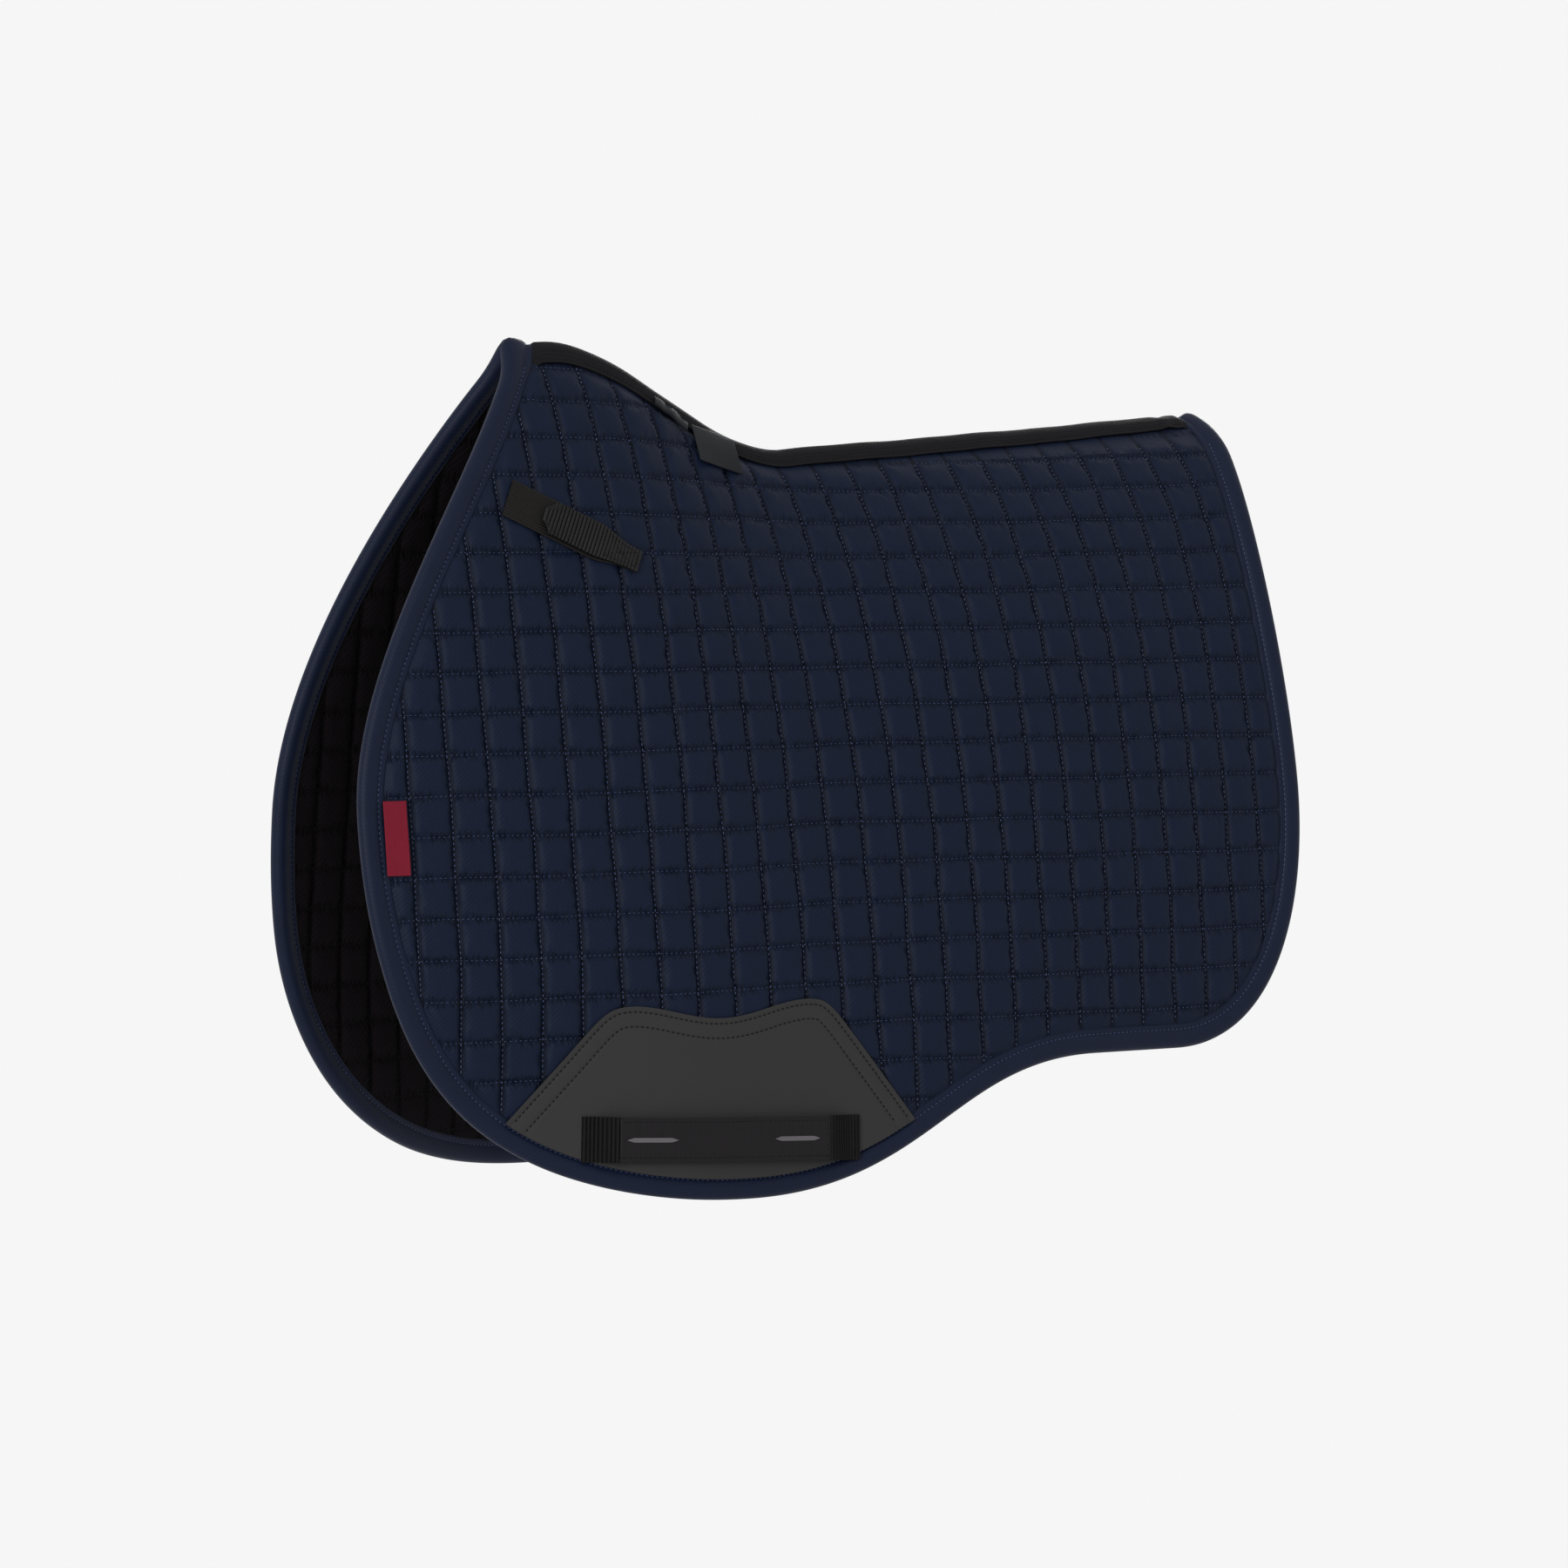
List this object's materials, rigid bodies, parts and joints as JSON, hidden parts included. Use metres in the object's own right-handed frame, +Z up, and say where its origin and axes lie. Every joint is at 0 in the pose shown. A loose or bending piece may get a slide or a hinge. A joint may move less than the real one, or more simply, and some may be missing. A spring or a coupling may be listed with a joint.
{
  "type": "saddle pad",
  "caption": "Contoured quilted saddle pad with bound edges, wither arch, girth patches with elastic keepers, and hook-and-loop ring straps.",
  "frame": {"origin": "underside of the spine at its lowest dip, on the centre line", "axes": "+X to the horse's rear, +Y to the horse's right, +Z up"},
  "size_m": [0.6748, 0.282, 0.5323],
  "materials": {
    "quilted_cotton": "dyed cotton twill, quilted in squares",
    "edge_binding": "folded satin-weave tape",
    "spine_webbing": "ribbed mesh webbing",
    "lining": "quilted wicking mesh",
    "wadding": "needled polyester wadding",
    "girth_patch": "smooth matte coated cloth",
    "keeper_webbing": "flat woven webbing",
    "elastic": "ribbed woven elastic",
    "strap_webbing": "fine ribbed webbing",
    "strap_tab": "ribbed webbing",
    "hook_and_loop": "hook and loop pile",
    "red_label": "woven satin label",
    "black_label": "woven satin label"
  },
  "bodies": {
    "root": {"spine_band": "spine_webbing", "spine_inner_tape": "spine_webbing", "front_arch_binding": "edge_binding", "rear_arch_binding": "edge_binding", "left_yoke_cover": "quilted_cotton", "left_yoke_wadding": "wadding", "left_yoke_lining": "lining", "left_ring_strap_base": "strap_webbing", "left_ring_strap_loop_pad": "hook_and_loop", "right_yoke_cover": "quilted_cotton", "right_yoke_wadding": "wadding", "right_yoke_lining": "lining", "right_ring_strap_base": "strap_webbing", "right_ring_strap_loop_pad": "hook_and_loop", "loop_label": "black_label"},
    "left_flap": {"left_flap_cover": "quilted_cotton", "left_flap_wadding": "wadding", "left_flap_lining": "lining", "left_flap_binding": "edge_binding", "left_girth_patch": "girth_patch", "left_keeper_front_elastic": "elastic", "left_keeper_rear_elastic": "elastic", "side_label": "red_label"},
    "right_flap": {"right_flap_cover": "quilted_cotton", "right_flap_wadding": "wadding", "right_flap_lining": "lining", "right_flap_binding": "edge_binding", "right_girth_patch": "girth_patch", "right_keeper_front_elastic": "elastic", "right_keeper_rear_elastic": "elastic"},
    "left_keeper": {"left_girth_keeper": "keeper_webbing"},
    "right_keeper": {"right_girth_keeper": "keeper_webbing"},
    "left_strap_tab": {"left_ring_strap_tab": "strap_tab", "left_ring_strap_hook_pad": "hook_and_loop"},
    "right_strap_tab": {"right_ring_strap_tab": "strap_tab", "right_ring_strap_hook_pad": "hook_and_loop"},
    "spine_label_flag": {"spine_label": "black_label"}
  },
  "joints": [
    {"name": "left_flap_fold", "type": "hinge", "parent": "root", "child": "left_flap", "pos_m": [-0.019, -0.072, -0.1], "axis": [-0.9976, 0.0689, 0], "range_deg": [-12, 60], "stiffness_Nm_per_rad": 2},
    {"name": "right_flap_fold", "type": "hinge", "parent": "root", "child": "right_flap", "pos_m": [-0.019, 0.072, -0.1], "axis": [0.9976, 0.0689, 0], "range_deg": [-12, 60], "stiffness_Nm_per_rad": 2},
    {"name": "left_keeper_stretch", "type": "slide", "parent": "left_flap", "child": "left_keeper", "axis": [-0.1066, -0.9905, 0.087], "range_m": [0, 0.012], "stiffness_N_per_m": 60, "deforming": ["left_keeper_front_elastic", "left_keeper_rear_elastic"]},
    {"name": "right_keeper_stretch", "type": "slide", "parent": "right_flap", "child": "right_keeper", "axis": [-0.1066, 0.9905, 0.087], "range_m": [0, 0.012], "stiffness_N_per_m": 60, "deforming": ["right_keeper_front_elastic", "right_keeper_rear_elastic"]},
    {"name": "left_strap_peel", "type": "hinge", "parent": "root", "child": "left_strap_tab", "pos_m": [-0.16015, -0.06771, -0.05721], "axis": [0.4394, 0.241, 0.8653], "range_deg": [0, 150]},
    {"name": "right_strap_peel", "type": "hinge", "parent": "root", "child": "right_strap_tab", "pos_m": [-0.16015, 0.06771, -0.05721], "axis": [-0.4394, 0.241, -0.8653], "range_deg": [0, 150]},
    {"name": "spine_label_flip", "type": "hinge", "parent": "root", "child": "spine_label_flag", "pos_m": [-0.06858, -0.01108, 0.02138], "axis": [-0.9133, -0.0251, 0.4065], "range_deg": [0, 140]}
  ]
}
